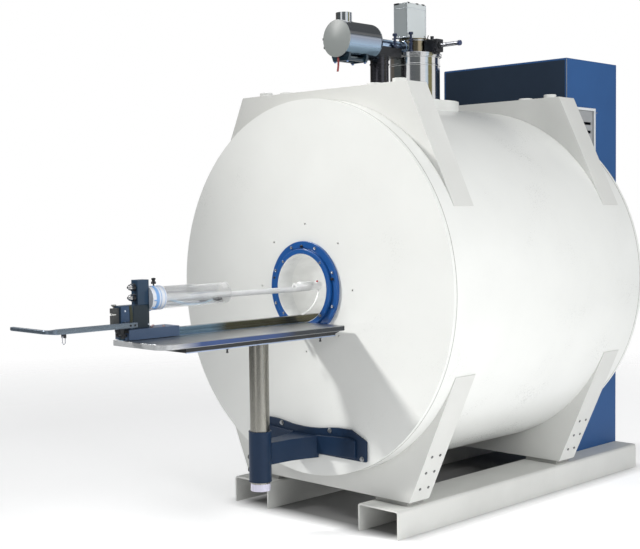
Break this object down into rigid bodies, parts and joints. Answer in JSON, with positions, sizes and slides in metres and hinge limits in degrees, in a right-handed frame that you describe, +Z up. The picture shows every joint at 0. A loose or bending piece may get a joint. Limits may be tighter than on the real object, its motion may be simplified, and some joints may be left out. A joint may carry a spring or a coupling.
{
  "type": "mri scanner",
  "caption": "Small-bore research MRI scanner: round magnet in white frames, service turret, rear cabinet and a bracketed loading table with a sliding bed.",
  "frame": {"origin": "on the floor under the middle of the whole machine's box", "axes": "+Z up, +Y into the bore from the loading side, +X to the right when facing the bore"},
  "size_m": [1.65, 3.3, 2.35],
  "materials": {
    "magnet_paint": "satin white enamel on steel",
    "bore_liner": "pale grey enamel",
    "ring_blue": "blue enamel",
    "bolt_steel": "plain steel",
    "shield_metal": "bright aluminium",
    "tank_steel": "welded stainless steel",
    "rod_composite": "glass fibre",
    "former_metal": "turned aluminium",
    "winding_metal": "copper-clad wire in resin",
    "gradient_resin": "cast resin",
    "frame_paint": "satin white enamel on steel plate",
    "cap_plastic": "white moulded plastic",
    "cabinet_blue": "satin blue powder coat",
    "vent_grey": "grey powder coat",
    "turret_polish": "polished stainless steel",
    "cover_paint": "white enamel",
    "head_brass": "turned metal with a warm tint",
    "black_metal": "black finish on metal",
    "ribbon_cloth": "woven red tape",
    "navy_paint": "navy enamel",
    "table_metal": "grey satin aluminium",
    "column_steel": "ground stainless steel",
    "guide_black": "dark anodised rail",
    "clear_plastic": "clear acrylic",
    "bed_plastic": "white moulded plastic",
    "handle_metal": "grey anodised bar",
    "stem_steel": "knurled steel",
    "knob_black": "black moulded plastic"
  },
  "bodies": {
    "root": {"vessel_shell": "magnet_paint", "front_end_plate": "magnet_paint", "rear_end_plate": "magnet_paint", "bore_tube": "bore_liner", "front_bore_ring": "ring_blue", "rear_bore_ring": "ring_blue", "ring_bolts": "bolt_steel", "thermal_shield": "shield_metal", "helium_vessel": "tank_steel", "suspension_rods": "rod_composite", "coil_former": "former_metal", "coil_windings": "winding_metal", "gradient_coil": "gradient_resin", "front_upper_frame": "frame_paint", "front_lower_frame": "frame_paint", "rear_upper_frame": "frame_paint", "rear_lower_frame": "frame_paint", "frame_screws": "bolt_steel", "lifting_caps": "cap_plastic", "foot_pads": "frame_paint", "skid_rails": "frame_paint", "cabinet_shell": "cabinet_blue", "cabinet_back_panel": "cabinet_blue", "vent_panel": "vent_grey", "cabinet_rack": "tank_steel", "turret_neck": "turret_polish", "cold_head_cover": "cover_paint", "cold_head": "head_brass", "vent_manifold": "turret_polish", "manifold_cap": "cover_paint", "service_pipe": "turret_polish", "valve_block": "black_metal", "relief_valve": "black_metal", "turret_fittings": "black_metal", "hanging_ribbon": "ribbon_cloth", "column_bracket": "navy_paint", "bracket_bolts": "bolt_steel", "column_sleeve": "navy_paint"},
    "table": {"table_plate": "table_metal", "table_beam": "black_metal", "table_column": "column_steel", "guide_rail": "guide_black"},
    "carriage": {"carriage_sled": "navy_paint", "lower_block": "navy_paint", "upper_block": "navy_paint", "split_clamp": "black_metal", "tube_end_cap": "clear_plastic", "clear_tube": "clear_plastic", "animal_bed": "bed_plastic", "head_holder": "bed_plastic", "handle_bar": "handle_metal"},
    "valve_stem": {"valve_stem": "stem_steel"},
    "upper_clamp_screw": {"upper_clamp_screw": "knob_black"},
    "lower_clamp_screw": {"lower_clamp_screw": "knob_black"},
    "lock_knob": {"lock_knob": "knob_black"},
    "upper_stage_knob": {"upper_stage_knob": "stem_steel"},
    "lower_stage_knob": {"lower_stage_knob": "stem_steel"},
    "thumbscrew": {"thumbscrew": "stem_steel"},
    "tube_clamp_screw": {"tube_clamp_screw": "knob_black"},
    "pull_loop": {"pull_loop": "clear_plastic"}
  },
  "joints": [
    {"name": "table_lift", "type": "slide", "parent": "root", "child": "table", "axis": [0, 0, 1], "range_m": [0, 0.05]},
    {"name": "carriage_slide", "type": "slide", "parent": "table", "child": "carriage", "axis": [0, 1, 0], "range_m": [0, 0.62]},
    {"name": "valve_stem_turn", "type": "hinge", "parent": "root", "child": "valve_stem", "pos_m": [0.17, 0.46, 2.145], "axis": [1, 0, 0], "range_deg": [0, 180]},
    {"name": "upper_clamp_turn", "type": "hinge", "parent": "root", "child": "upper_clamp_screw", "pos_m": [-0.06, -0.579, 0.321], "axis": [-1, 0, 0], "range_deg": [0, 360]},
    {"name": "lower_clamp_turn", "type": "hinge", "parent": "root", "child": "lower_clamp_screw", "pos_m": [-0.06, -0.579, 0.266], "axis": [-1, 0, 0], "range_deg": [0, 360]},
    {"name": "lock_knob_turn", "type": "hinge", "parent": "carriage", "child": "lock_knob", "pos_m": [0.027, -1.295, 0.907], "axis": [0, -1, 0], "range_deg": [0, 180]},
    {"name": "upper_stage_turn", "type": "hinge", "parent": "carriage", "child": "upper_stage_knob", "pos_m": [0, -1.245, 1.087], "axis": [0, -1, 0], "continuous": true},
    {"name": "lower_stage_turn", "type": "hinge", "parent": "carriage", "child": "lower_stage_knob", "pos_m": [0, -1.245, 1.047], "axis": [0, -1, 0], "continuous": true},
    {"name": "thumbscrew_turn", "type": "hinge", "parent": "carriage", "child": "thumbscrew", "pos_m": [0, -1.319, 1.015], "axis": [0, 0, 1], "range_deg": [0, 360]},
    {"name": "tube_clamp_turn", "type": "hinge", "parent": "carriage", "child": "tube_clamp_screw", "pos_m": [0, -1.129, 1.105], "axis": [0, 0, 1], "range_deg": [0, 360]},
    {"name": "loop_swing", "type": "hinge", "parent": "carriage", "child": "pull_loop", "pos_m": [0.056, -1.579, 0.93], "axis": [1, 0, 0], "range_deg": [-60, 60]}
  ]
}
